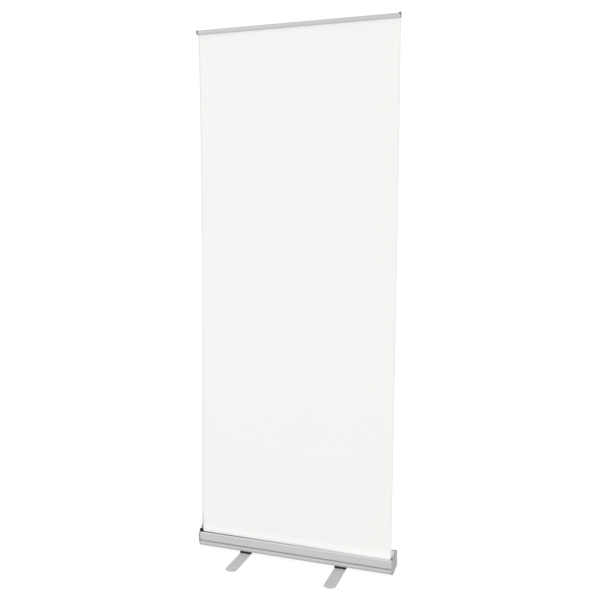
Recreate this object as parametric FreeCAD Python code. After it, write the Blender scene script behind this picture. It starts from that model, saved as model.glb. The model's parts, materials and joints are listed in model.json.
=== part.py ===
"""Roll-up banner stand: floor cassette with a sprung roller, swing feet, telescopic pole, hanging rail.

Millimetres. +X runs to the right of someone facing the front of the banner, +Y to the rear, +Z up.
The origin is on the floor, under the middle of the cassette and midway between the two feet.
"""
import FreeCAD, Part
import math
import os

Vec = FreeCAD.Vector
X_AXIS = Vec(1, 0, 0)
Y_AXIS = Vec(0, 1, 0)
Z_AXIS = Vec(0, 0, 1)

# ---- driving dimensions ------------------------------------------------------------------------
BASE_LENGTH = 815.0          # over both end caps
CAP_THICK = 4.0              # one cassette end cap
CAP_BOTTOM = 9.5             # underside of the caps above the floor
BASE_BOTTOM = 11.0           # underside of the cassette above the floor
CASSETTE_WALL = 2.0
WEB_FRONT = 9.3              # y of the upright web between the roller's chamber and the pole's
WEB_THICK = 1.6
LIP_TOP = 67.0               # top of the front lip
DECK_FRONT = 73.0            # height of the deck at the slot
DECK_REAR = 76.2             # height of the deck at the rear
SLOT_FRONT = -34.0           # y of the slot's front face
SLOT_REAR = -23.0            # y of the slot's rear face

EAR_FRONT = -33.2            # y of the black ears that fill the ends of the slot
EAR_REAR = -24.0
EAR_OVERLAP = 4.0            # how far the left ear reaches in front of the film's edge
EAR_GAP = 1.3                # and how far it stands in front of it
EAR_FOOT = 58.0
EAR_TOP = 79.5
EAR_TOP_CLOSED = 72.0        # top of the right ear, which the end cap covers
FINGER_TOP = 96.0            # top of the thin finger on the left ear, beside the film's edge
PLATE_THICK = 2.3            # black bearing plates
BOSS_RADIUS = 9.0            # boss round the axle's hole in a bearing plate
BOSS_HEIGHT = 0.9

GRAPHIC_LEFT = -398.0
GRAPHIC_RIGHT = 399.0
GRAPHIC_THICK = 0.3
GRAPHIC_LEAN = 1.1           # degrees, leaning back
GRAPHIC_SLOT_Y = -29.0       # y of the film at the height of the lip
GRAPHIC_BOTTOM = 20.0        # its straight run goes on a little past the roller's side
GRAPHIC_TOP = 2079.0

ROLLER_Y = -13.2
ROLLER_Z = 36.0
ROLLER_RADIUS = 15.5
ROLLER_HALF = 399.0
TUBE_WALL = 1.2
LEADER_THICK = 0.25          # film left on the tube when the banner is out
AXLE_RADIUS = 4.0
RUNNING_GAP = 0.06           # radial, for a shaft in its bore
ROLLER_PLUG = 24.0           # how far a plug reaches into the tube, and the idle axle into its plug
ROLLER_RIM = 1.0             # thickness of a plug's flange
SHAFT_END = 32.0             # x of the free end of the spring's shaft
JOURNAL_SPAN = (30.0, 42.0)  # x
ANCHOR_SPAN = (56.0, 68.0)   # x
ANCHOR_RADIUS = 11.0
SPRING_RADII = (10.5, 8.5)   # outer, inner

FOOT_X = 200.0               # pivot of each foot, either side of the middle
FOOT_LENGTH = 391.0
FOOT_WIDTH = 46.5
FOOT_TIP = 13.0              # how far the curved end stands beyond its straight sides
FOOT_THICK = 2.2
PAD_THICK = 1.2
PAD_RADIUS = 11.0
PAD_INSET = 17.0             # pad's middle from the blade's end
PIVOT_RADIUS = 4.0
HUB_HALF = 40.0              # half the length of the block between blade and cassette
HUB_CORNER = 2.0
THREAD_RADIUS = 2.5          # thread of a foot's pivot screw
PIVOT_HEAD = 7.5             # radius of its low head
HEAD_THICK = 0.9
NUT_HALF = 6.0               # half the width of its square nut
NUT_THICK = 3.0
SMALL_SCREW_RADIUS = 1.6     # screws of the pole's socket

POLE_Y = 25.5
SECTION_RADII = (10.0, 8.7, 7.4)                                  # lower, middle, top
SECTION_SPANS = ((18.2, 752.0), (690.0, 1424.0), (1360.0, 2056.0))
SECTION_WALL = 0.8
SOCKET_FLOOR = 16.0
SOCKET_TOP = 44.0
SOCKET_RADIUS = 12.6
SOCKET_SCREW_X = 21.0
SOCKET_SCREW_Y = 20.0
GROMMET_NECK = 13.1          # outer radius of the part of the grommet inside the deck's hole
GROMMET_SEAT = 76.95         # underside of its flange
GROMMET_FLANGE = 15.5        # outer radius of the flange
COLLAR_HEIGHT = 36.0
COLLAR_RADIUS = 14.0
COLLAR_ABOVE_TUBE = 6.0      # how far a collar stands above its tube's end
COLLAR_RIBS = 14
COLLAR_RIB_HALF = 1.1
GLIDE_DEPTH = 50.0           # how far a nylon glide reaches down into its tube
GLIDE_RIM = 2.0
STOP_BORE = 4.0
STOP_RIM = 4.0               # height of a stop's rim below its tube
STOP_DEPTH = 14.0            # how far a stop reaches up into its tube
FOOT_PLUG_DEPTH = 18.0
HOOK_RADIUS = 8.4            # disc of the head on the top tube
HOOK_DISC = 4.0
TONGUE_HALF = 8.0

RAIL_LEFT = -403.3           # ends of the rail over both caps; it hangs a little off the middle
RAIL_RIGHT = 400.1
RAIL_CAP = 1.0               # plate of a rail cap
RAIL_LUG = 5.5               # how far its lug reaches along the rail
RAIL_LUG_HEIGHTS = {"left": 14.0, "right": 5.0}
RAIL_LUG_SKIN = -0.3         # inset of a lug from the rail's face; below 0 stands proud
RAIL_LUG_RISES = {"left": 0.4, "right": 2.6}      # how far each lug stands above the rail
RAIL_FRONT = 2.0
RAIL_REAR = 16.0
RAIL_BOTTOM = 2068.8
RAIL_TOP = 2085.2
RAIL_WALL = 1.3
BRACKET_WALL = 2.0
BRACKET_REAR = 31.5          # y of the rear of the bracket that hangs on the pole
BRACKET_DEEP = 15.0          # height of its pocket's rear wall
BRACKET_HALF = 24.0
POCKET_HALF = 8.4
BRACKET_SCREW_X = 17.5
BRACKET_SCREW_Z = 2078.5
FILM_SLOT = (8.4, 13.2)      # y of the slot under the rail

# (y, z) of the ports along the cassette that the end caps' screws bite into
SCREW_PORTS = ((-32.4, 15.8), (37.4, 15.8), (37.2, 70.2), (14.0, 38.5))
PORT_RADIUS = 3.3
PORT_HOLE = 1.5
HEAD_RADIUS = 2.9
HEAD_SEAT = 2.2              # depth of the counterbores in the end caps

# ---- worked out --------------------------------------------------------------------------------
BASE_HALF = BASE_LENGTH / 2
BODY_HALF = BASE_HALF - CAP_THICK
FLOOR_IN = BASE_BOTTOM + CASSETTE_WALL
BLADE_TOP = PAD_THICK + FOOT_THICK
WEB_REAR = WEB_FRONT + WEB_THICK
RAIL_ENDS = {"left": RAIL_LEFT, "right": RAIL_RIGHT}
LEAN_SLOPE = math.tan(math.radians(GRAPHIC_LEAN))
SIDES = {"left": -1, "right": 1}


# ---- helpers -----------------------------------------------------------------------------------
def graphic_y(z):
    """y of the middle of the film at height z."""
    return GRAPHIC_SLOT_Y + (z - LIP_TOP) * LEAN_SLOPE


def outline(start, steps, x=0.0):
    """Closed wire in the plane X = x. A step is a (y, z) corner, or two points of an arc (mid, end)."""
    here = Vec(x, *start)
    edges = []
    for step in steps:
        if isinstance(step[0], tuple):
            mid, end = Vec(x, *step[0]), Vec(x, *step[1])
            edges.append(Part.Arc(here, mid, end).toShape())
        else:
            end = Vec(x, *step)
            edges.append(Part.LineSegment(here, end).toShape())
        here = end
    first = Vec(x, *start)
    if here.distanceToPoint(first) > 1e-6:
        edges.append(Part.LineSegment(here, first).toShape())
    return Part.Wire(edges)


def prism(wire, x_from, x_to):
    """Solid between X = x_from and X = x_to with the wire, drawn at X = 0, as its section."""
    face = Part.Face(wire)
    face.translate(Vec(x_from, 0, 0))
    return face.extrude(Vec(x_to - x_from, 0, 0))


def block(x, y, z):
    """Box from three (low, high) pairs."""
    return Part.makeBox(x[1] - x[0], y[1] - y[0], z[1] - z[0], Vec(x[0], y[0], z[0]))


def bar(radius, x_from, x_to, y, z):
    """Round bar along X."""
    low, high = sorted((x_from, x_to))
    return Part.makeCylinder(radius, high - low, Vec(low, y, z), X_AXIS)


def sleeve(outer, inner, x_from, x_to, y, z):
    """Round tube along X."""
    return bar(outer, x_from, x_to, y, z).cut(bar(inner, x_from, x_to, y, z))


def post(radius, z_from, z_to, x=0.0, y=0.0):
    """Round bar along Z."""
    return Part.makeCylinder(radius, z_to - z_from, Vec(x, y, z_from), Z_AXIS)


def ring(outer, inner, z_from, z_to, x=0.0, y=0.0):
    """Round tube along Z."""
    return post(outer, z_from, z_to, x, y).cut(post(inner, z_from, z_to, x, y))


def joined(shapes):
    """One solid from several that touch or overlap."""
    return shapes[0].multiFuse(shapes[1:]).removeSplitter()


def edges_at_x(shape, x):
    """The edges of a shape that lie wholly in the plane X = x."""
    return [e for e in shape.Edges if all(abs(v.X - x) < 1e-6 for v in e.Vertexes)]


def save(name, shape):
    """Write one node after making sure that it is sound."""
    if not shape.isValid() or not shape.Solids:
        raise ValueError("bad solid: " + name)
    shape.exportStep("parts/" + name + ".step")


# ---- cassette ----------------------------------------------------------------------------------
def cassette_outline():
    """Outside of the extrusion, with the groove along its front and the slot still closed."""
    return outline((-35.6, BASE_BOTTOM), [
        (39.0, BASE_BOTTOM),
        ((41.12, BASE_BOTTOM + 0.88), (42.0, BASE_BOTTOM + 3.0)),
        ((43.5, 42.0), (42.0, 70.0)),
        ((40.2, 74.6), (35.5, DECK_REAR)),
        ((6.0, 76.6), (SLOT_REAR, DECK_FRONT)),
        (SLOT_FRONT, LIP_TOP),
        ((-37.6, 66.2), (-39.8, 62.5)),
        ((-41.9, 48.0), (-41.2, 36.0)),
        (-38.2, 34.6),
        (-38.2, 30.6),
        (-40.2, 29.6),
        (-38.9, 15.5),
        ((-38.0, 12.4), (-35.6, BASE_BOTTOM)),
    ])


def cavity_outline():
    """Inside of the extrusion, before the web parts the roller's chamber from the pole's."""
    return outline((-34.4, FLOOR_IN), [
        (38.6, FLOOR_IN),
        ((39.7, FLOOR_IN + 0.4), (40.1, FLOOR_IN + 1.6)),
        ((41.5, 42.0), (40.1, 69.4)),
        ((38.4, 72.8), (34.8, 74.2)),
        ((6.0, 74.6), (-20.8, 71.3)),
        (-20.8, 65.0),
        (-34.6, 65.0),
        ((-36.9, 63.4), (-37.7, 61.0)),
        ((-39.8, 48.0), (-39.2, 37.2)),
        (-36.2, 35.8),
        (-36.2, 20.0),
    ])


def cassette_body():
    """Aluminium extrusion with the slot, the web, screw ports, the pole's hole and the pivot holes."""
    shell = prism(cassette_outline(), -BODY_HALF, BODY_HALF)
    shell = shell.cut(prism(cavity_outline(), -BODY_HALF - 1, BODY_HALF + 1))
    slot = block((-BODY_HALF - 1, BODY_HALF + 1), (SLOT_FRONT, SLOT_REAR), (60.0, 80.0))
    shell = shell.cut(slot)
    web = block((-BODY_HALF, BODY_HALF), (WEB_FRONT, WEB_REAR), (BASE_BOTTOM + 1.0, 75.5))
    ports = [bar(PORT_RADIUS, -BODY_HALF, BODY_HALF, y, z) for y, z in SCREW_PORTS]
    shell = joined([shell, web] + ports)
    for y, z in SCREW_PORTS:
        shell = shell.cut(bar(PORT_HOLE, -BODY_HALF - 1, BODY_HALF + 1, y, z))
    shell = shell.cut(post(GROMMET_NECK + 0.1, 60.0, 90.0, y=POLE_Y))
    shell = shell.cut(post(SOCKET_RADIUS + 0.1, FLOOR_IN, SOCKET_TOP + 0.5, y=POLE_Y))
    for side in SIDES.values():
        shell = shell.cut(post(THREAD_RADIUS + 0.2, 0.0, FLOOR_IN + 0.5, x=side * FOOT_X))
        x = side * SOCKET_SCREW_X
        shell = shell.cut(post(SMALL_SCREW_RADIUS + 0.05, 0.0, FLOOR_IN + 0.5, x, SOCKET_SCREW_Y))
    return shell


def cap_outline():
    """Outside of an end cap: the cassette's shape, a little larger, stepped back below the groove."""
    return outline((-34.6, CAP_BOTTOM), [
        (41.5, CAP_BOTTOM),
        ((44.1, CAP_BOTTOM + 1.0), (45.0, CAP_BOTTOM + 3.5)),
        ((46.2, 40.0), (44.0, 70.8)),
        ((42.0, 75.8), (36.5, 77.8)),
        ((6.0, 78.4), (-22.5, 75.2)),
        ((-28.5, 71.8), (-34.5, 68.8)),
        ((-39.2, 67.4), (-41.8, 63.0)),
        ((-43.8, 48.0), (-43.4, 30.0)),
        (-39.0, 26.5),
        (-37.2, CAP_BOTTOM + 3.0),
        ((-36.6, CAP_BOTTOM + 0.7), (-34.6, CAP_BOTTOM)),
    ])


def end_cap(side):
    """Plastic end cap with rounded rim, counterbored screw holes and, on the left, an open slot."""
    inner, outer = side * BODY_HALF, side * BASE_HALF
    cap = prism(cap_outline(), inner, outer)
    cap = cap.makeFillet(1.4, edges_at_x(cap, outer))
    for y, z in SCREW_PORTS:
        seat = HEAD_RADIUS + (2.1 if (y, z) == SCREW_PORTS[-1] else 0.4)
        cap = cap.cut(bar(PORT_HOLE + 0.2, inner - side, outer + side, y, z))
        cap = cap.cut(bar(seat, outer - side * HEAD_SEAT, outer + side, y, z))
    if side < 0:
        low, high = sorted((inner - side, outer + side))
        cap = cap.cut(block((low, high), (EAR_FRONT - 0.4, EAR_REAR + 0.4), (EAR_FOOT - 0.4, 90.0)))
    return cap


def end_cap_screws():
    """Pan-head screws, four in each end cap, driven into the cassette's ports."""
    screws = []
    for side in SIDES.values():
        head_in = side * (BASE_HALF - HEAD_SEAT)
        head_out = side * (BASE_HALF - 0.5)
        for y, z in SCREW_PORTS:
            shank = bar(PORT_HOLE - 0.05, side * (BODY_HALF - 12.0), head_in, y, z)
            head = bar(HEAD_RADIUS, head_in, head_out, y, z)
            head = head.makeFillet(0.8, edges_at_x(head, head_out))
            screw = joined([shank, head])
            for half_y, half_z in ((1.7, 0.35), (0.35, 1.7)):
                arm = sorted((head_out - side * 0.8, head_out + side))
                screw = screw.cut(block(arm, (y - half_y, y + half_y), (z - half_z, z + half_z)))
            screws.append(screw)
    return Part.makeCompound(screws)


def bearing_plate(side):
    """Black plate inside each end that carries the roller; its ear fills the end of the slot."""
    inner, outer = side * (BODY_HALF - PLATE_THICK), side * BODY_HALF
    plate = prism(cavity_outline().makeOffset2D(-0.3), inner, outer)
    plate = plate.cut(block((-BASE_HALF, BASE_HALF), (WEB_FRONT - 0.3, 60.0), (0.0, 90.0)))
    boss = bar(BOSS_RADIUS, side * (BODY_HALF - PLATE_THICK - BOSS_HEIGHT), inner, ROLLER_Y, ROLLER_Z)
    if side < 0:
        ear_end = -BASE_HALF + 1.0
        rear = block((ear_end, GRAPHIC_LEFT - 1.0), (EAR_FRONT, EAR_REAR), (EAR_FOOT, EAR_TOP - 2.5))
        guard_y = (EAR_FRONT, GRAPHIC_SLOT_Y - EAR_GAP)
        guard = block((ear_end, GRAPHIC_LEFT + EAR_OVERLAP), guard_y, (EAR_FOOT, EAR_TOP))
        finger = block((GRAPHIC_LEFT - 1.0, GRAPHIC_LEFT + 1.4), guard_y, (EAR_TOP, FINGER_TOP))
        finger = finger.cut(block((-BASE_HALF, 0.0), (EAR_FRONT - 1, EAR_FRONT + 1.2), (EAR_TOP + 1, 99.0)))
        ears = [rear, guard, finger]
    else:
        ears = [block(sorted((inner, outer)), (EAR_FRONT, EAR_REAR), (EAR_FOOT, EAR_TOP_CLOSED))]
    plate = joined([plate, boss] + ears)
    for y, z in SCREW_PORTS:
        plate = plate.cut(bar(PORT_RADIUS + 0.3, -BASE_HALF, BASE_HALF, y, z))
    plate = plate.cut(bar(AXLE_RADIUS, -BASE_HALF, BASE_HALF, ROLLER_Y, ROLLER_Z))
    return max(plate.Solids, key=lambda solid: solid.Volume)


def pole_socket():
    """Moulded socket, screwed to the cassette's floor, that the pole's foot drops into."""
    plate = block((-27.0, 27.0), (WEB_REAR + 0.3, 33.0), (FLOOR_IN, SOCKET_FLOOR))
    socket = joined([plate, post(SOCKET_RADIUS, FLOOR_IN, SOCKET_TOP, y=POLE_Y)])
    socket = socket.cut(post(SECTION_RADII[0] + 0.1, SOCKET_FLOOR, SOCKET_TOP + 1, y=POLE_Y))
    for side in SIDES.values():
        x = side * SOCKET_SCREW_X
        socket = socket.cut(post(SMALL_SCREW_RADIUS + 0.05, 0.0, SOCKET_FLOOR + 1, x, SOCKET_SCREW_Y))
    return socket


def pole_socket_screws():
    """Two screws that hold the socket down."""
    screws = []
    for side in SIDES.values():
        x, y = side * SOCKET_SCREW_X, SOCKET_SCREW_Y
        shank = post(SMALL_SCREW_RADIUS, BASE_BOTTOM + 0.2, SOCKET_FLOOR, x, y)
        head = post(2 * SMALL_SCREW_RADIUS, SOCKET_FLOOR, SOCKET_FLOOR + 2.0, x, y)
        screws.append(joined([shank, head]))
    return Part.makeCompound(screws)


def deck_grommet():
    """Black ring that lines the pole's hole in the deck."""
    bore = SECTION_RADII[0] + 0.35
    neck = ring(GROMMET_NECK, bore, 71.0, GROMMET_SEAT, y=POLE_Y)
    flange = ring(GROMMET_FLANGE, bore, GROMMET_SEAT, GROMMET_SEAT + 1.5, y=POLE_Y)
    return joined([neck, flange])


def foot_nuts():
    """Square nuts on the cassette's floor, one over each foot's pivot."""
    nuts = []
    for side in SIDES.values():
        x = side * FOOT_X
        nut = block((x - NUT_HALF, x + NUT_HALF), (-NUT_HALF, NUT_HALF), (FLOOR_IN, FLOOR_IN + NUT_THICK))
        nuts.append(nut.cut(post(THREAD_RADIUS, FLOOR_IN - 1, FLOOR_IN + NUT_THICK + 1, x=x)))
    return Part.makeCompound(nuts)


def foot_pivot_screw(side):
    """Shoulder screw: a low head under the blade, a shoulder that it turns on, a thread in the nut."""
    x = side * FOOT_X
    head = post(PIVOT_HEAD, PAD_THICK - HEAD_THICK, PAD_THICK, x=x)
    socket = post(2.4, 0.0, PAD_THICK - 0.2, x=x)
    shoulder = post(PIVOT_RADIUS, PAD_THICK, BASE_BOTTOM, x=x)
    thread = post(THREAD_RADIUS, BASE_BOTTOM, FLOOR_IN + NUT_THICK + 0.4, x=x)
    return joined([head, shoulder, thread]).cut(socket)


# ---- roller ------------------------------------------------------------------------------------
def roller_tube():
    """Aluminium tube that the banner winds onto."""
    inner = ROLLER_RADIUS - TUBE_WALL
    return sleeve(ROLLER_RADIUS, inner, -ROLLER_HALF, ROLLER_HALF, ROLLER_Y, ROLLER_Z)


def roller_plug(side):
    """Plastic plug pressed into one end of the tube, with a thin flange and a bore for the axle."""
    end, deep = side * ROLLER_HALF, side * (ROLLER_HALF - ROLLER_PLUG)
    inside = bar(ROLLER_RADIUS - TUBE_WALL, deep, end, ROLLER_Y, ROLLER_Z)
    flange = bar(ROLLER_RADIUS, end, end + side * ROLLER_RIM, ROLLER_Y, ROLLER_Z)
    plug = joined([inside, flange])
    return plug.cut(bar(AXLE_RADIUS + RUNNING_GAP, -BASE_HALF, BASE_HALF, ROLLER_Y, ROLLER_Z))


def shaft_journal():
    """Bearing inside the tube that centres the free end of the spring's shaft."""
    return sleeve(ROLLER_RADIUS - TUBE_WALL, AXLE_RADIUS + RUNNING_GAP, *JOURNAL_SPAN, ROLLER_Y, ROLLER_Z)


def graphic_leader():
    """The blank tail of the film, wound round the tube."""
    outer = ROLLER_RADIUS + LEADER_THICK
    return sleeve(outer, ROLLER_RADIUS, GRAPHIC_LEFT, GRAPHIC_RIGHT, ROLLER_Y, ROLLER_Z)


def spring_shaft():
    """Fixed steel shaft inside the driven half of the roller."""
    return bar(AXLE_RADIUS, SHAFT_END, BODY_HALF, ROLLER_Y, ROLLER_Z)


def idle_axle():
    """Fixed stub that the other end of the roller turns on."""
    return bar(AXLE_RADIUS, -BODY_HALF, -BODY_HALF + ROLLER_PLUG, ROLLER_Y, ROLLER_Z)


def spring_anchor():
    """Collar pinned to the shaft, holding the inner end of the spring."""
    return sleeve(ANCHOR_RADIUS, AXLE_RADIUS, *ANCHOR_SPAN, ROLLER_Y, ROLLER_Z)


def torsion_spring():
    """Envelope of the long torsion spring, from its anchor to the driven plug."""
    return sleeve(*SPRING_RADII, ANCHOR_SPAN[1], ROLLER_HALF - ROLLER_PLUG - 0.8, ROLLER_Y, ROLLER_Z)


# ---- feet --------------------------------------------------------------------------------------
def foot_blade(side):
    """Flat aluminium blade with curved ends and softened top edges, square to the cassette in use."""
    x, half, straight = side * FOOT_X, FOOT_WIDTH / 2, FOOT_LENGTH / 2 - FOOT_TIP
    corners = [Vec(x - half, -straight, PAD_THICK), Vec(x + half, -straight, PAD_THICK),
               Vec(x + half, straight, PAD_THICK), Vec(x - half, straight, PAD_THICK)]
    front, rear = Vec(x, -FOOT_LENGTH / 2, PAD_THICK), Vec(x, FOOT_LENGTH / 2, PAD_THICK)
    wire = Part.Wire([Part.Arc(corners[0], front, corners[1]).toShape(),
                      Part.LineSegment(corners[1], corners[2]).toShape(),
                      Part.Arc(corners[2], rear, corners[3]).toShape(),
                      Part.LineSegment(corners[3], corners[0]).toShape()])
    blade = Part.Face(wire).extrude(Vec(0, 0, FOOT_THICK))
    rim = [e for e in blade.Edges if all(abs(v.Z - BLADE_TOP) < 1e-6 for v in e.Vertexes)]
    blade = blade.makeFillet(0.9, rim)
    return blade.cut(post(PIVOT_RADIUS + RUNNING_GAP, 0, BLADE_TOP + 1, x=x))


def foot_pads(side):
    """Rubber pads under both ends of a blade, with a soft lower edge."""
    pads = []
    for end in (-1, 1):
        pad = post(PAD_RADIUS, 0, PAD_THICK, x=side * FOOT_X, y=end * (FOOT_LENGTH / 2 - PAD_INSET))
        low = [e for e in pad.Edges if all(abs(v.Z) < 1e-6 for v in e.Vertexes)]
        pads.append(pad.makeFillet(0.5, low))
    return Part.makeCompound(pads)


def foot_hub(side):
    """Black block on top of a blade that carries the cassette and turns with the blade."""
    x, half = side * FOOT_X, FOOT_WIDTH / 2
    hub = block((x - half, x + half), (-HUB_HALF, HUB_HALF), (BLADE_TOP, BASE_BOTTOM - 0.05))
    corners = [e for e in hub.Edges if abs(e.Vertexes[0].Z - e.Vertexes[-1].Z) > 1]
    hub = hub.makeFillet(HUB_CORNER, corners)
    return hub.cut(post(PIVOT_RADIUS + RUNNING_GAP, 0.0, BASE_BOTTOM, x=x))


# ---- pole --------------------------------------------------------------------------------------
def pole_tube(index):
    """One of the three aluminium tubes."""
    radius, (low, high) = SECTION_RADII[index], SECTION_SPANS[index]
    return ring(radius, radius - SECTION_WALL, low, high, y=POLE_Y)


def pole_foot_plug():
    """Plug in the bottom of the lower tube."""
    low = SECTION_SPANS[0][0]
    disc = post(SECTION_RADII[0], SOCKET_FLOOR, low, y=POLE_Y)
    return joined([disc, post(SECTION_RADII[0] - SECTION_WALL, low, low + FOOT_PLUG_DEPTH, y=POLE_Y)])


def pole_glide(index):
    """Nylon sleeve in the mouth of a tube that the next tube slides through."""
    top = SECTION_SPANS[index][1]
    bore = SECTION_RADII[index + 1] + 0.1
    inside = ring(SECTION_RADII[index] - SECTION_WALL, bore, top - GLIDE_DEPTH, top, y=POLE_Y)
    rim = ring(SECTION_RADII[index], bore, top, top + GLIDE_RIM, y=POLE_Y)
    return joined([inside, rim])


def pole_stop(index):
    """Plug in the bottom of an inner tube, with a rim that keeps the tube centred and stops it."""
    low = SECTION_SPANS[index][0]
    rim = ring(SECTION_RADII[index - 1] - SECTION_WALL - 0.1, STOP_BORE, low - STOP_RIM, low, y=POLE_Y)
    inside = ring(SECTION_RADII[index] - SECTION_WALL, STOP_BORE, low, low + STOP_DEPTH, y=POLE_Y)
    return joined([rim, inside])


def pole_collar(index):
    """Ribbed twist-lock collar round the mouth of a tube."""
    tube_top = SECTION_SPANS[index][1]
    high = tube_top + COLLAR_ABOVE_TUBE
    low = high - COLLAR_HEIGHT
    bore = SECTION_RADII[index] + 0.08
    waist = COLLAR_RADIUS - 1.6
    taper = Part.makeCone(bore + 1.4, waist, 6.0, Vec(0, POLE_Y, low), Z_AXIS)
    body = joined([taper, post(waist, low + 6.0, high, y=POLE_Y)])
    ribs = []
    for step in range(COLLAR_RIBS):
        width = (-COLLAR_RIB_HALF, COLLAR_RIB_HALF)
        rib = block((waist - 1.0, COLLAR_RADIUS), width, (low + 8.0, high - 3.0))
        rib.rotate(Vec(0, 0, 0), Z_AXIS, step * 360.0 / COLLAR_RIBS)
        rib.translate(Vec(0, POLE_Y, 0))
        ribs.append(rib)
    body = joined([body] + ribs)
    body = body.cut(post(bore, low - 1, tube_top + GLIDE_RIM + 0.6, y=POLE_Y))
    return body.cut(post(SECTION_RADII[index + 1] + 0.4, low - 1, high + 1, y=POLE_Y))


def pole_hook_head():
    """Black head on the top tube, with the tongue that stands in the bracket's pocket."""
    top = SECTION_SPANS[2][1]
    inside = post(SECTION_RADII[2] - SECTION_WALL, top - 16.0, top, y=POLE_Y)
    disc = post(HOOK_RADIUS, top, top + HOOK_DISC, y=POLE_Y)
    disc = disc.cut(block((-10, 10), (0, POLE_Y - 8.0), (top - 1, top + HOOK_DISC + 1)))
    tongue_z = (top + HOOK_DISC - 1.0, RAIL_TOP - BRACKET_WALL - 0.3)
    tongue = block((-TONGUE_HALF, TONGUE_HALF), (POLE_Y - 3.5, POLE_Y + 2.5), tongue_z)
    return joined([inside, disc, tongue])


# ---- top rail ----------------------------------------------------------------------------------
def rail_outline(inset=0.0):
    """Rounded section of the rail: soft at the front, tighter at the rear."""
    front, rear = RAIL_FRONT + inset, RAIL_REAR - inset
    low, high = RAIL_BOTTOM + inset, RAIL_TOP - inset
    soft, tight = 6.0 - inset, 3.0 - inset
    soft_mid, tight_mid = soft * (1 - math.sqrt(0.5)), tight * (1 - math.sqrt(0.5))
    return outline((front + soft, low), [
        (rear - tight, low),
        ((rear - tight_mid, low + tight_mid), (rear, low + tight)),
        (rear, high - tight),
        ((rear - tight_mid, high - tight_mid), (rear - tight, high)),
        (front + soft, high),
        ((front + soft_mid, high - soft_mid), (front, high - soft)),
        (front, low + soft),
        ((front + soft_mid, low + soft_mid), (front + soft, low)),
    ])


def rail_lug_zone(side, spare=0.0):
    """Box round the upper corner at one end of the rail that belongs to the cap."""
    end = RAIL_ENDS[side]
    inward = -SIDES[side] * (RAIL_CAP + RAIL_LUG + spare)
    foot = RAIL_TOP - RAIL_LUG_HEIGHTS[side] - spare
    depth = (RAIL_FRONT - RAIL_WALL, RAIL_REAR + RAIL_WALL)
    return block(sorted((end, end + inward)), depth, (foot, RAIL_TOP + 2 * RAIL_WALL))


def rail_profile():
    """Hollow aluminium rail with a slot below for the film, notched at both upper corners for the caps."""
    left, right = RAIL_LEFT + RAIL_CAP, RAIL_RIGHT - RAIL_CAP
    tube = prism(rail_outline(), left, right)
    tube = tube.cut(prism(rail_outline(RAIL_WALL), left - 1, right + 1))
    tube = tube.cut(block((left - 1, right + 1), FILM_SLOT, (RAIL_BOTTOM - 1, RAIL_BOTTOM + 2)))
    for side in SIDES:
        tube = tube.cut(rail_lug_zone(side, spare=0.1))
    for x in (-BRACKET_SCREW_X, BRACKET_SCREW_X):
        tube = tube.cut(Part.makeCylinder(1.2, 4.0, Vec(x, RAIL_REAR - 3.0, BRACKET_SCREW_Z), Y_AXIS))
    return tube


def rail_cap(side):
    """Plastic cap: a thin plate, a spigot inside the rail and a lug that fills the notched upper corner."""
    end, away = RAIL_ENDS[side], SIDES[side]
    plate = prism(rail_outline(), end - away * RAIL_CAP, end)
    plate = plate.makeFillet(0.6, edges_at_x(plate, end))
    reach = end - away * (RAIL_CAP + RAIL_LUG)
    lug = prism(rail_outline(RAIL_LUG_SKIN), reach, end - away * 0.8).common(rail_lug_zone(side))
    rise = block(sorted((reach, end - away * 0.4)), (RAIL_FRONT + 4.0, RAIL_REAR - 1.0),
                 (RAIL_TOP - 1.0, RAIL_TOP + RAIL_LUG_RISES[side]))
    spigot = prism(rail_outline(RAIL_WALL + 0.15), end - away * 14.0, end - away * RAIL_CAP)
    spigot_x = sorted((end - away * RAIL_CAP, end - away * 15.0))
    film_room = block(spigot_x, (8.0, 13.4), (0.0, GRAPHIC_TOP + 2.0))
    return joined([plate, joined([lug, rise, spigot]).cut(film_room)])


def rail_gripper():
    """Plastic strip pushed in behind the film to hold it in the rail."""
    return block((RAIL_LEFT + 16.0, RAIL_RIGHT - 16.0), (9.9, 13.0), (RAIL_BOTTOM + 0.3, GRAPHIC_TOP + 2.0))


def rail_bracket():
    """Black bracket screwed behind the middle of the rail; the pole's tongue stands in its pocket."""
    low = RAIL_TOP - BRACKET_DEEP
    plate = block((-BRACKET_HALF, BRACKET_HALF), (RAIL_REAR, RAIL_REAR + BRACKET_WALL), (low, RAIL_TOP - 1.5))
    uprights = [e for e in plate.Edges if all(abs(abs(v.X) - BRACKET_HALF) < 1e-6 for v in e.Vertexes)
                and abs(e.Vertexes[0].Y - e.Vertexes[1].Y) > 1]
    plate = plate.makeFillet(3.0, uprights)
    wide = POCKET_HALF + BRACKET_WALL
    pocket = block((-wide, wide), (RAIL_REAR, BRACKET_REAR), (low, RAIL_TOP))
    top_rear = [e for e in pocket.Edges if all(abs(v.Y - BRACKET_REAR) < 1e-6 for v in e.Vertexes)]
    pocket = pocket.makeFillet(1.5, top_rear)
    hollow_y = (RAIL_REAR + BRACKET_WALL, BRACKET_REAR - BRACKET_WALL)
    pocket = pocket.cut(block((-POCKET_HALF, POCKET_HALF), hollow_y, (low - 1, RAIL_TOP - BRACKET_WALL)))
    bracket = joined([plate, pocket])
    for x in (-BRACKET_SCREW_X, BRACKET_SCREW_X):
        bracket = bracket.cut(Part.makeCylinder(1.5, 4.0, Vec(x, RAIL_REAR - 1.0, BRACKET_SCREW_Z), Y_AXIS))
    return bracket


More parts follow.
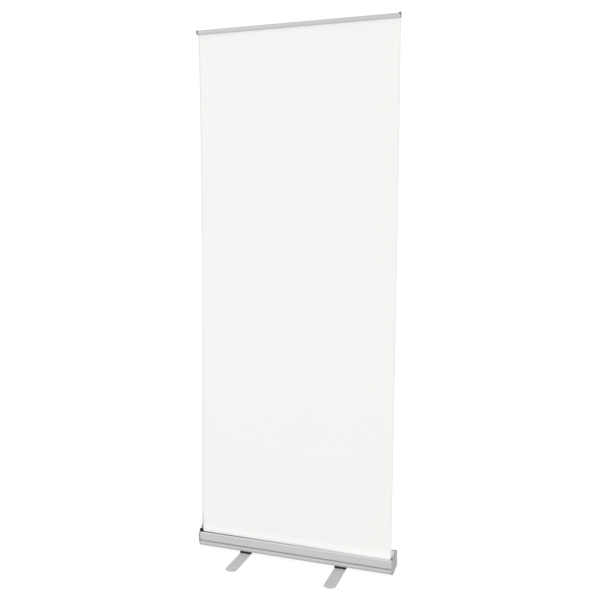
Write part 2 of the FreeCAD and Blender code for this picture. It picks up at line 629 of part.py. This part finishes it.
def rail_bracket_screws():
    """Two short screws through the bracket into the rail's rear wall."""
    screws = []
    for x in (-BRACKET_SCREW_X, BRACKET_SCREW_X):
        seat = RAIL_REAR + BRACKET_WALL
        tip = Vec(x, RAIL_REAR - RAIL_WALL, BRACKET_SCREW_Z)
        shank = Part.makeCylinder(1.2, BRACKET_WALL + RAIL_WALL, tip, Y_AXIS)
        head = Part.makeCylinder(2.6, 1.5, Vec(x, seat, BRACKET_SCREW_Z), Y_AXIS)
        rim = [e for e in head.Edges if all(abs(v.Y - seat - 1.5) < 1e-6 for v in e.Vertexes)]
        screws.append(joined([shank, head.makeFillet(0.6, rim)]))
    return Part.makeCompound(screws)


def banner_graphic():
    """The film, from the roller up through the slot to the rail."""
    half = GRAPHIC_THICK / 2
    low, high = graphic_y(GRAPHIC_BOTTOM), graphic_y(GRAPHIC_TOP)
    wire = outline((low - half, GRAPHIC_BOTTOM), [
        (low + half, GRAPHIC_BOTTOM),
        (high + half, GRAPHIC_TOP),
        (high - half, GRAPHIC_TOP),
    ])
    return prism(wire, GRAPHIC_LEFT, GRAPHIC_RIGHT)


# ---- write every node --------------------------------------------------------------------------
def build():
    """All nodes by name."""
    nodes = {
        "cassette_body": cassette_body(),
        "end_cap_screws": end_cap_screws(),
        "pole_socket": pole_socket(),
        "pole_socket_screws": pole_socket_screws(),
        "deck_grommet": deck_grommet(),
        "foot_nuts": foot_nuts(),
        "idle_axle": idle_axle(),
        "spring_shaft": spring_shaft(),
        "spring_anchor": spring_anchor(),
        "torsion_spring": torsion_spring(),
        "roller_tube": roller_tube(),
        "roller_plug_idle": roller_plug(-1),
        "roller_plug_drive": roller_plug(1),
        "shaft_journal": shaft_journal(),
        "graphic_leader": graphic_leader(),
        "pole_tube_lower": pole_tube(0),
        "pole_tube_middle": pole_tube(1),
        "pole_tube_top": pole_tube(2),
        "pole_foot_plug": pole_foot_plug(),
        "pole_glide_lower": pole_glide(0),
        "pole_glide_upper": pole_glide(1),
        "pole_stop_middle": pole_stop(1),
        "pole_stop_top": pole_stop(2),
        "pole_collar_lower": pole_collar(0),
        "pole_collar_upper": pole_collar(1),
        "pole_hook_head": pole_hook_head(),
        "rail_profile": rail_profile(),
        "rail_gripper": rail_gripper(),
        "rail_bracket": rail_bracket(),
        "rail_bracket_screws": rail_bracket_screws(),
        "banner_graphic": banner_graphic(),
    }
    for name, side in SIDES.items():
        nodes["end_cap_" + name] = end_cap(side)
        nodes["bearing_plate_" + name] = bearing_plate(side)
        nodes["foot_pivot_screw_" + name] = foot_pivot_screw(side)
        nodes["foot_blade_" + name] = foot_blade(side)
        nodes["foot_pads_" + name] = foot_pads(side)
        nodes["foot_hub_" + name] = foot_hub(side)
        nodes["rail_cap_" + name] = rail_cap(name)
    return nodes


os.makedirs("parts", exist_ok=True)
for node_name, node_shape in build().items():
    save(node_name, node_shape)
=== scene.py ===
"""Looks of the roll-up banner stand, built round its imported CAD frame. Metres, +Z up, front towards -Y."""

import json
import math

import bmesh
import bpy
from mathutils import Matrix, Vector


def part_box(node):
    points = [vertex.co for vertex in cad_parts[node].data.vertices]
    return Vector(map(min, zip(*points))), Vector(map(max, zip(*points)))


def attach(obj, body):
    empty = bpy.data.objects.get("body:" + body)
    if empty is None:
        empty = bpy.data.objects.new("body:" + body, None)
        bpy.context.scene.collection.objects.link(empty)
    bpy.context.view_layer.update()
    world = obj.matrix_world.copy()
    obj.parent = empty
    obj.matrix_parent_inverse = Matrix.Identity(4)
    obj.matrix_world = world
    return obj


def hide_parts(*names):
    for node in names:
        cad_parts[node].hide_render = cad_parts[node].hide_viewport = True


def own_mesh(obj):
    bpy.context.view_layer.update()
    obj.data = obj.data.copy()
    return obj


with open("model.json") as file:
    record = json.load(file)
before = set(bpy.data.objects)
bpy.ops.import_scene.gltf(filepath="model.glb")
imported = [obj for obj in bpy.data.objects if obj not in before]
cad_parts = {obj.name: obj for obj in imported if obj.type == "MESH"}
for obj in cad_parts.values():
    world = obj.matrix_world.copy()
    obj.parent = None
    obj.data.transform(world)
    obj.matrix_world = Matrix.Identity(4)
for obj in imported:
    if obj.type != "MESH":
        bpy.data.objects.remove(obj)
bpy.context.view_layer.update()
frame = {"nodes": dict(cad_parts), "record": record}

# ---- places, all read from the frame ------------------------------------------------------------
FILM_LOW, FILM_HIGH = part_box("banner_graphic")
CASSETTE_LOW, CASSETTE_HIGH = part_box("cassette_body")
CAP_LOW, CAP_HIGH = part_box("end_cap_right")
RAIL_LOW, RAIL_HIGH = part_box("rail_profile")
BLADE_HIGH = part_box("foot_blade_left")[1]
LIP_TOP = CASSETTE_LOW.z + 0.056       # top of the lip in front of the film's slot
GROOVE_LOW = CASSETTE_LOW.z + 0.0184
GROOVE_HIGH = CASSETTE_LOW.z + 0.0240
DECK = CASSETTE_HIGH.z - 0.0079        # height above which there is only the deck behind the slot

# ---- camera -------------------------------------------------------------------------------------
CAMERA_PLACE = (0.949, -2.685, 1.380)
CAMERA_YAW = 19.022          # degrees, turned to the left of straight ahead
CAMERA_PITCH = 6.69          # degrees, looking down
CAMERA_ROLL = 0.057          # degrees
CAMERA_SENSOR = 36.0         # mm
CAMERA_LENS = 44.46          # mm
CAMERA_REACH = 200.0

# ---- light --------------------------------------------------------------------------------------
SOFT_BOXES = {               # place, point that it faces, side, power in watts
    "key": ((-2.2, -3.0, 3.4), (0.0, 0.0, 0.7), 2.4, 5.0),
    "overhead": ((0.3, -0.4, 4.6), (0.0, 0.0, 0.0), 3.6, 8.0),
    "rear": ((0.4, 3.4, 3.2), (0.0, 0.0, 0.8), 2.4, 5.0),
}
SKY_TONES = ((0.0, 0.86), (0.8, 1.0))  # height on the sky and its tone there, horizon and overhead
SKY_POWER = 1.08
BACKDROP_POWER = 1.02        # of the white that the camera sees behind everything
FLOOR_HALF = 40.0
FLOOR_TONE = 0.13
FLOOR_GLOW = 0.89

# ---- film ---------------------------------------------------------------------------------------
FILM_THICK = 0.0003
FILM_COLUMNS = 96
FILM_ROWS = 200
FILM_CREASE = 0.6            # radians between faces from which an edge is sharp
LEFT_CURL = 0.019            # how far the left edge stands back at its most
RIGHT_CURL = 0.009
CURL_REACH = 0.045           # how far in from the edge the curl fades
CURL_PEAK = 0.6              # share of the height at which the curl is greatest
CURL_FULLNESS = 0.8          # below 1 the curl keeps more of its depth away from that height
RIPPLES = ((0.0006, 7.0, 1.1), (0.0004, 17.0, -2.3))  # depth, radians per metre across and up
LEADER_LEFT = 0.0680         # height at which the film gives way to black leader at each side
LEADER_RIGHT = 0.0628
LEADER_ROW = 4               # row of the film's mesh that follows that join
LIP_LEAN = 0.0036            # how far the film leans towards the lip at the right
LIP_LEAN_SPAN = (0.50, 0.85)  # share of the width over which that grows
LIP_FADE = 0.12              # height over which it fades above the lip
TAIL_LEAN_END = 0.040        # height at which the lean is gone again inside the cassette
FACE, BACK, LEADER = range(3)  # the film's material slots

# ---- surface marks ------------------------------------------------------------------------------
DIE_LINES = (2600.0, 3.0)    # marks per metre across and along a drawn profile
DIE_BANDS = (420.0, 1.2)
DIE_DEPTH = 0.000012
SMUDGE_DULLS = 0.10          # roughness that a smudge adds at most
GRAIN_DEPTH = 0.00004        # of moulded plastic
EDGE_FADE = 0.0008           # width over which a patch of painted light or shade ends, unless its limit says otherwise

# ---- painted light and shade --------------------------------------------------------------------
# Painted light and shade: a factor on the colour, below 1 for painted shade where light hardly reaches and
# above 1 for painted light or a painted highlight where light catches an edge; and the limits inside which it
# holds, as (axis, low, high) or (axis, low, high, fade).
NO_PAINTED_LIGHT = {}
# Painted shade and painted highlights on the cassette's metal.
CASSETTE_PAINTED_LIGHT = {
    # Painted highlight on the lip's rounded top edge.
    "lip_edge_painted_highlight": (1.18, [("Z", LIP_TOP - 0.0040, LIP_TOP + 0.0010), ("Y", None, CASSETTE_LOW.y + 0.0090)]),
    # Painted shade in the groove, where little light reaches.
    "groove_painted_shade": (0.68, [("Z", GROOVE_LOW, GROOVE_HIGH),
                      ("Y", CASSETTE_LOW.y + 0.0012, CASSETTE_LOW.y + 0.0080)]),
    # Painted shade along the cassette's bottom edge.
    "bottom_edge_painted_shade": (0.68, [("Z", None, CASSETTE_LOW.z + 0.0060), ("Y", None, CASSETTE_LOW.y + 0.0320)]),
    # Painted shade on the rear of the deck at its right end, beside the cap.
    "deck_corner_painted_shade": (0.50, [("X", CASSETTE_HIGH.x - 0.0130, None), ("Z", DECK + 0.0010, None),
                           ("Y", CASSETTE_HIGH.y - 0.0174, CASSETTE_HIGH.y - 0.0044)]),
    # Painted light on the deck behind the slot.
    "deck": (1.12, [("Z", DECK, None), ("Y", CASSETTE_LOW.y + 0.0194, CASSETTE_HIGH.y - 0.0194)]),
}
# Painted shade and a painted highlight on the end caps.
CAP_PAINTED_LIGHT = {
    # Painted shade on the cap's rear top corner.
    "rear_corner_painted_shade": (0.62, [("Y", CAP_HIGH.y - 0.0182, None), ("Z", CAP_HIGH.z - 0.0077, None)]),
    # Painted highlight on the right cap's front rim.
    "right_front_rim_painted_highlight": (1.45, [("X", CASSETTE_HIGH.x, None), ("Y", None, CAP_LOW.y + 0.0035)]),
}
RAIL_PAINTED_SHADE = {
    # Painted shade along the rail's top edge.
    "top": (0.80, [("Z", RAIL_HIGH.z - 0.0042, None)]),
    # Slight painted shade along the rail's bottom edge.
    "bottom": (0.98, [("Z", None, RAIL_LOW.z + 0.0030)]),
}
# Painted light and painted shade on the feet.
BLADE_PAINTED_LIGHT = {
    # Painted light near the cassette, offsetting the shade that falls on the blade there.
    "near_cassette_painted_light": (1.20, [("Y", -0.095, 0.095, 0.10)]),
    # Painted shade on the blade's sides below its top face.
    "sides_painted_shade": (0.74, [("Z", None, BLADE_HIGH.z - 0.0007)]),
}
# Painted light and painted shade on the film.
FILM_PAINTED_LIGHT = {
    # Painted light on the film's lowest part, offsetting the shade of the slot.
    "near_cassette_painted_light": (1.12, [("Z", None, 0.088, 0.035)]),
    # Painted shade along the film's left and right edges, for the shading of their curl.
    "left_edge_painted_shade": (0.84, [("X", None, FILM_LOW.x + 0.0048, 0.00192)]),
    "right_edge_painted_shade": (0.88, [("X", FILM_HIGH.x - 0.0028, None, 0.00224)]),
    # Painted shade, wider and deeper, down the film's left edge near the bottom.
    "left_edge_low_painted_shade": (0.68, [("X", None, FILM_LOW.x + 0.0075, 0.00375), ("Z", None, 0.135, 0.07)]),
}


# ---- node helpers -------------------------------------------------------------------------------
class Look:
    """One node material: wraps the few node calls that every material here needs."""

    def __init__(self, name, colour, metallic=0.0, roughness=0.5, **sockets):
        self.material = bpy.data.materials.new(name)
        self.material.use_nodes = True
        self.material.diffuse_color = (*colour, 1.0)
        self.tree = self.material.node_tree
        self.shader = self.tree.nodes["Principled BSDF"]
        self.set("Base Color", (*colour, 1.0))
        self.set("Metallic", metallic)
        self.set("Roughness", roughness)
        for socket, value in sockets.items():
            self.set(socket.replace("_", " "), value)
        self.relief = None

    def set(self, socket, value):
        self.shader.inputs[socket].default_value = value

    def add(self, kind, **settings):
        node = self.tree.nodes.new(kind)
        for key, value in settings.items():
            setattr(node, key, value)
        return node

    def link(self, output, target):
        self.tree.links.new(output, target)

    def drive(self, socket, output):
        """Lets a node's output set one of the shader's sockets."""
        self.link(output, self.shader.inputs[socket])

    def noise(self, marks, detail=2.0, rough=0.5):
        """Noise with so many marks per metre, the same all round or one number each for X, Y and Z."""
        where = self.add("ShaderNodeTexCoord")
        mapping = self.add("ShaderNodeMapping")
        mapping.inputs["Scale"].default_value = (marks,) * 3 if isinstance(marks, float) else marks
        self.link(where.outputs["Object"], mapping.inputs["Vector"])
        node = self.add("ShaderNodeTexNoise")
        node.inputs["Scale"].default_value = 1.0
        node.inputs["Detail"].default_value = detail
        node.inputs["Roughness"].default_value = rough
        self.link(mapping.outputs["Vector"], node.inputs["Vector"])
        return node.outputs["Fac"]

    def span(self, value, low, high, source=(0.3, 0.7)):
        """value, from the source range, moved to the range low to high."""
        node = self.add("ShaderNodeMapRange")
        for socket, number in zip(("From Min", "From Max", "To Min", "To Max"), (*source, low, high)):
            node.inputs[socket].default_value = number
        self.link(value, node.inputs["Value"])
        return node.outputs["Result"]

    def ramp(self, value, stops):
        """Colour ramp from two (position, colour) stops."""
        node = self.add("ShaderNodeValToRGB")
        for element, (position, colour) in zip(node.color_ramp.elements, stops):
            element.position = position
            element.color = (*colour, 1.0)
        self.link(value, node.inputs["Fac"])
        return node.outputs["Color"]

    def axis(self, name):
        """One of the object's own coordinates, X, Y or Z, in metres."""
        where = self.add("ShaderNodeTexCoord")
        parts = self.add("ShaderNodeSeparateXYZ")
        self.link(where.outputs["Object"], parts.inputs["Vector"])
        return parts.outputs[name]

    def times(self, first, second):
        node = self.add("ShaderNodeMath", operation="MULTIPLY", use_clamp=True)
        self.link(first, node.inputs[0])
        self.link(second, node.inputs[1])
        return node.outputs["Value"]

    def above(self, name, edge, fade=EDGE_FADE):
        """1 where the coordinate passes edge, 0 where it falls short of it."""
        return self.span(self.axis(name), 0.0, 1.0, (edge - fade / 2, edge + fade / 2))

    def below(self, name, edge, fade=EDGE_FADE):
        """1 where the coordinate falls short of edge, 0 where it passes it."""
        return self.span(self.axis(name), 1.0, 0.0, (edge - fade / 2, edge + fade / 2))

    def zone(self, limits):
        """1 inside every limit; None leaves that side open."""
        share = None
        for name, low, high, *fade in limits:
            for edge, side in ((low, self.above), (high, self.below)):
                if edge is not None:
                    part = side(name, edge, *fade)
                    share = part if share is None else self.times(share, part)
        return share

    def tint(self, tone, colour, painted_light):
        """tone, giving way in each zone of painted light or shade to the colour times its factor."""
        for factor, limits in painted_light.values():
            mix = self.add("ShaderNodeMix", data_type="RGBA")
            mix.inputs["B"].default_value = (*(min(1.0, c * factor) for c in colour), 1.0)
            self.link(self.zone(limits), mix.inputs["Factor"])
            self.link(tone, mix.inputs["A"])
            tone = mix.outputs["Result"]
        return tone

    def height(self, value, distance, strength):
        """Adds value as relief, distance metres deep, over what is there already."""
        bump = self.add("ShaderNodeBump")
        bump.inputs["Strength"].default_value = strength
        bump.inputs["Distance"].default_value = distance
        self.link(value, bump.inputs["Height"])
        if self.relief:
            self.link(self.relief, bump.inputs["Normal"])
        self.relief = bump.outputs["Normal"]

    def done(self):
        if self.relief:
            self.drive("Normal", self.relief)
        return self.material


def tones(colour, spread):
    """The colour a little darker and a little lighter, as ramp stops."""
    darker = tuple(c * (1 - spread) for c in colour)
    lighter = tuple(min(1.0, c * (1 + spread)) for c in colour)
    return [(0.3, darker), (0.7, lighter)]


def stretched(marks, along):
    """Marks per metre on X, Y and Z, from their numbers across and along one of the axes."""
    across, lengthwise = marks
    return tuple(lengthwise if axis == along else across for axis in range(3))


# ---- materials ----------------------------------------------------------------------------------
def drawn_aluminium(name, colour, along, roughness=0.36, metallic=1.0, painted_light=NO_PAINTED_LIGHT):
    """Satin anodised metal with fine die lines along one axis and faint smudges; painted shade and painted
    highlights in the zones it is given.
    """
    look = Look(name, colour, metallic=metallic, roughness=roughness)
    lines = look.noise(stretched(DIE_LINES, along), detail=3.0)
    bands = look.noise(stretched(DIE_BANDS, along))
    smudge = look.noise(9.0, detail=4.0, rough=0.6)
    look.drive("Base Color", look.tint(look.ramp(bands, tones(colour, spread=0.035)), colour, painted_light))
    dulled = look.add("ShaderNodeMath", operation="MULTIPLY_ADD")
    dulled.inputs[1].default_value = SMUDGE_DULLS
    look.link(smudge, dulled.inputs[0])
    look.link(look.span(lines, low=roughness - 0.09, high=roughness + 0.03), dulled.inputs[2])
    look.drive("Roughness", dulled.outputs["Value"])
    look.height(bands, distance=DIE_DEPTH * 2, strength=0.5)
    look.height(lines, distance=DIE_DEPTH, strength=0.6)
    return look.done()


def moulded_plastic(name, colour, roughness=0.5, grains=1400.0, shine=0.5, painted_light=NO_PAINTED_LIGHT):
    """Injection-moulded plastic: fine spark-eroded grain, uneven gloss; painted shade and painted highlights
    in the zones it is given.
    """
    look = Look(name, colour, roughness=roughness, Specular_IOR_Level=shine)
    speck = look.noise(grains)
    cloud = look.noise(22.0, detail=3.0)
    look.drive("Base Color", look.tint(look.ramp(cloud, tones(colour, spread=0.05)), colour, painted_light))
    look.drive("Roughness", look.span(cloud, low=roughness - 0.07, high=roughness + 0.09))
    look.height(speck, distance=GRAIN_DEPTH, strength=0.7)
    return look.done()


def plated_steel(name):
    """Zinc-plated steel with a cloudy, slightly bluish bloom."""
    colour = (0.56, 0.57, 0.60)
    look = Look(name, colour, metallic=1.0, roughness=0.32)
    cloud = look.noise(130.0, detail=4.0, rough=0.6)
    look.drive("Base Color", look.ramp(cloud, tones(colour, spread=0.12)))
    look.drive("Roughness", look.span(cloud, low=0.24, high=0.42))
    look.height(look.noise(900.0), distance=0.00002, strength=0.5)
    return look.done()


def pad_rubber(name):
    """Dull black rubber with dust in its pores."""
    look = Look(name, (0.02, 0.02, 0.021), roughness=0.85)
    pores = look.noise(700.0, detail=3.0)
    bare, dusty = (0.012, 0.012, 0.012), (0.045, 0.044, 0.042)
    look.drive("Base Color", look.ramp(pores, [(0.35, bare), (0.75, dusty)]))
    look.height(pores, distance=0.00008, strength=0.8)
    return look.done()


def coated_film(name, colour, painted_light=NO_PAINTED_LIGHT):
    """Coated polyester film: eggshell face with faint orange peel; painted shade and painted light in the
    zones it is given.
    """
    look = Look(name, colour, roughness=0.46)
    peel = look.noise(650.0)
    drift = look.noise((1.6, 1.6, 0.9))
    look.drive("Base Color", look.tint(look.ramp(drift, tones(colour, spread=0.004)), colour, painted_light))
    look.drive("Roughness", look.span(peel, low=0.42, high=0.50))
    look.height(peel, distance=0.00001, strength=0.4)
    return look.done()


def make_looks():
    """Every material by name."""
    x, y, z = range(3)
    return {
        "cassette": drawn_aluminium("aluminium_cassette", (0.565, 0.57, 0.58), along=x, roughness=0.46,
                                    metallic=0.6, painted_light=CASSETTE_PAINTED_LIGHT),
        "rail": drawn_aluminium("aluminium_rail", (0.58, 0.58, 0.585), along=x, roughness=0.45,
                                metallic=0.6, painted_light=RAIL_PAINTED_SHADE),
        "blade": drawn_aluminium("aluminium_blade", (0.56, 0.565, 0.575), along=y, roughness=0.5,
                                 metallic=0.4, painted_light=BLADE_PAINTED_LIGHT),
        "tube": drawn_aluminium("aluminium_tube", (0.66, 0.665, 0.67), along=z, roughness=0.26),
        "roller": drawn_aluminium("aluminium_roller", (0.60, 0.60, 0.61), along=x, roughness=0.3),
        "cap": moulded_plastic("cap_plastic_grey", (0.295, 0.30, 0.308), roughness=0.42, painted_light=CAP_PAINTED_LIGHT),
        "rail_cap": moulded_plastic("rail_cap_plastic_grey", (0.14, 0.143, 0.147), roughness=0.5, shine=0.3),
        # Black plastic; on the foot hubs its black is also painted shade under the cassette's front edge.
        "black": moulded_plastic("plastic_black_and_painted_shade", (0.010, 0.010, 0.011), roughness=0.55, shine=0.3),
        # Near-black painted shade on the left bearing plate, for the shaded left end of the slot; the right
        # plate keeps the grey cap plastic.
        "ear_painted_shade": moulded_plastic("plastic_black_matt_painted_shade", (0.004, 0.004, 0.004), roughness=0.8, shine=0.1),
        "nylon": moulded_plastic("nylon_natural", (0.74, 0.72, 0.66), roughness=0.38, grains=600.0),
        "steel": plated_steel("steel_plated"),
        "rubber": pad_rubber("rubber_pad"),
        "film": coated_film("film_face", (0.866, 0.861, 0.845), painted_light=FILM_PAINTED_LIGHT),
        "film_back": coated_film("film_back", (0.62, 0.62, 0.615), painted_light=FILM_PAINTED_LIGHT),
        "leader": coated_film("film_leader", (0.016, 0.016, 0.017)),
    }


SLOT_LOOKS = {
    "aluminium": "cassette",
    "tube_aluminium": "tube",
    "cap_plastic": "cap",
    "rail_cap_plastic": "rail_cap",
    "black_plastic": "black",
    "nylon": "nylon",
    "steel": "steel",
    "rubber": "rubber",
    "film": "leader",
}
NODE_LOOKS = {
    "rail_profile": "rail",
    "foot_blade_left": "blade",
    "foot_blade_right": "blade",
    "roller_tube": "roller",
    # The left plate's near-black is painted shade.
    "bearing_plate_left": "ear_painted_shade",
    "bearing_plate_right": "cap",
}


def dress_cad(looks):
    """Gives every CAD node its material, by its slot or by its own name."""
    for part in frame["record"]["subparts"]:
        node = part["node"]
        look = looks[NODE_LOOKS.get(node, SLOT_LOOKS[part["material_slot"]])]
        for holder in frame["nodes"][node].material_slots:
            holder.material = look


def let_light_past_feet():
    """Keeps the feet from darkening the cassette: no mirror image, and no hold on the floor's light."""
    for node, thing in frame["nodes"].items():
        if node.startswith("foot_"):
            thing.visible_glossy = False
            thing.visible_diffuse = False


# ---- film ---------------------------------------------------------------------------------------
def film_height(row, x):
    """Height of a row of the film's mesh; one row follows the join to the leader, a little askew."""
    if row == LEADER_ROW:
        return LEADER_LEFT + (LEADER_RIGHT - LEADER_LEFT) * (x - FILM_LOW.x) / (FILM_HIGH.x - FILM_LOW.x)
    return FILM_LOW.z + (FILM_HIGH.z - FILM_LOW.z) * row / FILM_ROWS


def lip_lean(across, z):
    """How far the film stands forward: it hugs the lip on the right, and hangs free on the left."""
    start, end = LIP_LEAN_SPAN
    share = min(1.0, max(0.0, (across - start) / (end - start)))
    lean = LIP_LEAN * share * share * (3 - 2 * share)
    if z >= LIP_TOP:
        return lean * math.exp((LIP_TOP - z) / LIP_FADE)
    return lean * max(0.0, (z - TAIL_LEAN_END) / (LIP_TOP - TAIL_LEAN_END))


def film_point(across, row):
    """Middle of the film at a share across it (0 left, 1 right) on a row of its mesh."""
    x = FILM_LOW.x + across * (FILM_HIGH.x - FILM_LOW.x)
    z = film_height(row, x)
    up = (z - FILM_LOW.z) / (FILM_HIGH.z - FILM_LOW.z)
    y = FILM_LOW.y + FILM_THICK / 2 + up * (FILM_HIGH.y - FILM_LOW.y - FILM_THICK) - lip_lean(across, z)
    free = (z - CASSETTE_HIGH.z) / (RAIL_LOW.z - CASSETTE_HIGH.z)
    if 0 < free < 1:
        loose = math.sin(math.pi * free ** (math.log(0.5) / math.log(CURL_PEAK))) ** CURL_FULLNESS
        y += LEFT_CURL * loose * math.exp(-(x - FILM_LOW.x) / CURL_REACH)
        y += RIGHT_CURL * loose * math.exp(-(FILM_HIGH.x - x) / CURL_REACH)
        for depth, turn_across, turn_up in RIPPLES:
            y += depth * loose * math.sin(turn_across * x + turn_up * z)
    return Vector((x, y, z))


def make_film(looks):
    """The graphic: white on its face, grey on its back, thin all round."""
    mesh = bpy.data.meshes.new("banner_film")
    columns, rows = FILM_COLUMNS, FILM_ROWS
    # the columns crowd towards the two edges, where the film curls
    shares = [0.5 - 0.5 * math.cos(math.pi * i / columns) for i in range(columns + 1)]
    bm = bmesh.new()
    front, back = [
        [[bm.verts.new(film_point(across, row) + Vector((0, offset, 0))) for across in shares]
         for row in range(rows + 1)]
        for offset in (-FILM_THICK / 2, FILM_THICK / 2)
    ]
    for j in range(rows):
        for i in range(columns):
            face = bm.faces.new((front[j][i], front[j][i + 1], front[j + 1][i + 1], front[j + 1][i]))
            face.material_index = LEADER if j < LEADER_ROW else FACE
            face = bm.faces.new((back[j][i], back[j + 1][i], back[j + 1][i + 1], back[j][i + 1]))
            face.material_index = LEADER if j < LEADER_ROW else BACK
    for j in range(rows):
        bm.faces.new((front[j][0], front[j + 1][0], back[j + 1][0], back[j][0]))
        bm.faces.new((front[j][-1], back[j][-1], back[j + 1][-1], front[j + 1][-1]))
    for i in range(columns):
        bm.faces.new((front[0][i], back[0][i], back[0][i + 1], front[0][i + 1]))
        bm.faces.new((front[-1][i], front[-1][i + 1], back[-1][i + 1], back[-1][i]))
    for face in bm.faces:
        face.smooth = True
    for edge in bm.edges:
        if len(edge.link_faces) == 2 and edge.calc_face_angle() > FILM_CREASE:
            edge.smooth = False
    bm.to_mesh(mesh)
    bm.free()
    film = bpy.data.objects.new("banner_film", mesh)
    bpy.context.scene.collection.objects.link(film)
    for look in ("film", "film_back", "leader"):
        mesh.materials.append(looks[look])
    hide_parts("banner_graphic")
    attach(film, "top_rail")
    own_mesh(film)


# ---- stage --------------------------------------------------------------------------------------
def make_floor():
    """Large pale floor, lit from within like a light table, so shadows stay faint."""
    colour = (FLOOR_TONE,) * 3
    look = Look("floor_pale", colour, roughness=0.9, Specular_IOR_Level=0.1,
                Emission_Color=(1.0, 1.0, 1.0, 1.0), Emission_Strength=FLOOR_GLOW)
    look.drive("Base Color", look.ramp(look.noise(3.0), tones(colour, spread=0.01)))
    mesh = bpy.data.meshes.new("floor")
    corners = [(x * FLOOR_HALF, y * FLOOR_HALF, 0) for x, y in ((-1, -1), (1, -1), (1, 1), (-1, 1))]
    mesh.from_pydata(corners, [], [range(4)])
    mesh.materials.append(look.done())
    floor = bpy.data.objects.new("floor", mesh)
    bpy.context.scene.collection.objects.link(floor)


def make_world():
    """Light surroundings, a little darker towards the horizon, that the camera itself sees as plain white."""
    world = bpy.data.worlds.new("studio")
    bpy.context.scene.world = world
    world.use_nodes = True
    tree = world.node_tree
    sky = tree.nodes["Background"]
    where = tree.nodes.new("ShaderNodeTexCoord")
    parts = tree.nodes.new("ShaderNodeSeparateXYZ")
    ramp = tree.nodes.new("ShaderNodeValToRGB")
    for element, (height, tone) in zip(ramp.color_ramp.elements, SKY_TONES):
        element.position = height
        element.color = (tone, tone, tone, 1.0)
    tree.links.new(where.outputs["Generated"], parts.inputs["Vector"])
    tree.links.new(parts.outputs["Z"], ramp.inputs["Fac"])
    tree.links.new(ramp.outputs["Color"], sky.inputs["Color"])
    sky.inputs["Strength"].default_value = SKY_POWER
    backdrop = tree.nodes.new("ShaderNodeBackground")
    backdrop.inputs["Color"].default_value = (1.0, 1.0, 1.0, 1.0)
    backdrop.inputs["Strength"].default_value = BACKDROP_POWER
    ray = tree.nodes.new("ShaderNodeLightPath")
    mix = tree.nodes.new("ShaderNodeMixShader")
    tree.links.new(ray.outputs["Is Camera Ray"], mix.inputs["Fac"])
    tree.links.new(sky.outputs["Background"], mix.inputs[1])
    tree.links.new(backdrop.outputs["Background"], mix.inputs[2])
    tree.links.new(mix.outputs["Shader"], tree.nodes["World Output"].inputs["Surface"])


def make_light(name, place, target, side, power):
    """Square soft box at place, facing target."""
    data = bpy.data.lights.new(name, "AREA")
    data.shape = "SQUARE"
    data.size = side
    data.energy = power
    light = bpy.data.objects.new(name, data)
    bpy.context.scene.collection.objects.link(light)
    light.location = place
    light.rotation_euler = (Vector(target) - Vector(place)).to_track_quat("-Z", "Y").to_euler()


def make_camera():
    """The photo's own viewpoint."""
    data = bpy.data.cameras.new("camera")
    data.sensor_width = CAMERA_SENSOR
    data.lens = CAMERA_LENS
    data.clip_end = CAMERA_REACH
    camera = bpy.data.objects.new("camera", data)
    bpy.context.scene.collection.objects.link(camera)
    camera.location = CAMERA_PLACE
    camera.rotation_euler = [math.radians(turn) for turn in (90.0 - CAMERA_PITCH, CAMERA_ROLL, CAMERA_YAW)]
    bpy.context.scene.camera = camera


bpy.context.scene.view_settings.view_transform = "Standard"
make_camera()
make_floor()
make_world()
for title, settings in SOFT_BOXES.items():
    make_light(title, *settings)
all_looks = make_looks()
dress_cad(all_looks)
let_light_past_feet()
make_film(all_looks)
